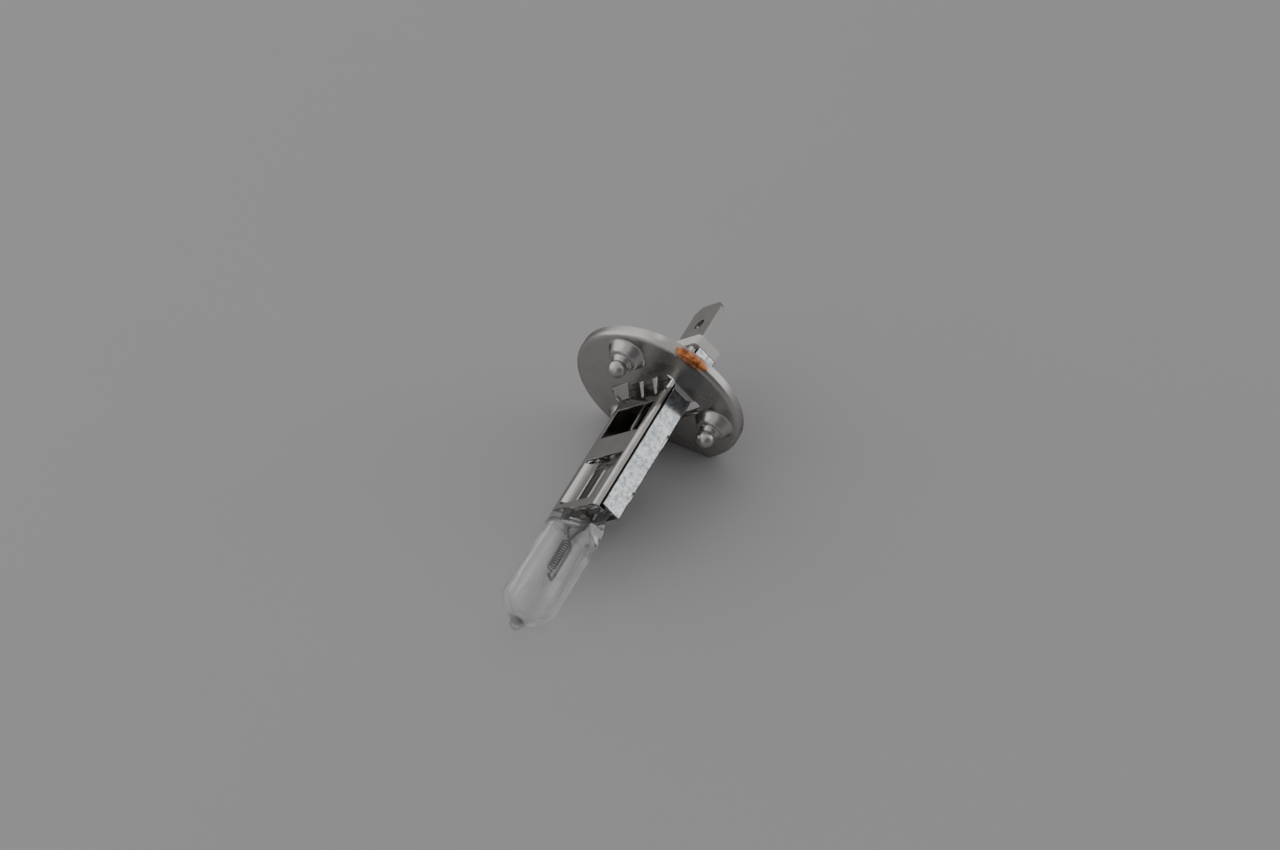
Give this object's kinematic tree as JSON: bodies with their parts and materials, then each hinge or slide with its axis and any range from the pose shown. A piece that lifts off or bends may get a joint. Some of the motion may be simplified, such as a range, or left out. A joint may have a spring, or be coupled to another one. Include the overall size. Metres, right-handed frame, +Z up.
{
  "type": "headlight bulb",
  "caption": "Single-filament halogen headlight bulb: clear quartz tube, flat metal sleeve, round flange with locating bosses and one flat, ceramic insulator and a flat push-on terminal.",
  "frame": {"origin": "under the middle of the lamp's bounding box, on the surface that the lamp lies on", "axes": "+Z up from that surface, -Y towards the glass nose and +Y towards the terminal blade, with the lamp's own axis in the YZ plane, nose down by 9.1 degrees; +X completes the right-handed frame"},
  "size_m": [0.0272, 0.0632, 0.0241],
  "materials": {
    "quartz_glass": "clear fused quartz, polished, with faint draw lines",
    "tungsten": "dark matt drawn tungsten",
    "molybdenum_wire": "drawn molybdenum wire",
    "molybdenum_foil": "thin rolled molybdenum foil sealed in quartz",
    "nickel_lead": "nickel-coated lead wire",
    "plated_steel_sleeve": "bright nickel-plated pressed strip with faint rolling lines",
    "plated_steel_disc": "bright nickel-plated pressing, slightly satin",
    "steatite_ceramic": "pale unglazed steatite, faintly translucent",
    "tinned_blade": "dull tin-plated strip with sheared edges"
  },
  "bodies": {
    "root": {"quartz_envelope": "quartz_glass", "filament": "tungsten", "inner_lead_short": "molybdenum_wire", "inner_lead_long": "molybdenum_wire", "foil_live": "molybdenum_foil", "foil_ground": "molybdenum_foil", "outer_lead_live": "nickel_lead", "outer_lead_ground": "nickel_lead", "sleeve_channel": "plated_steel_sleeve", "sleeve_cover": "plated_steel_sleeve", "base_disc": "plated_steel_disc", "ceramic_insulator": "steatite_ceramic", "contact_blade": "tinned_blade"}
  },
  "joints": []
}
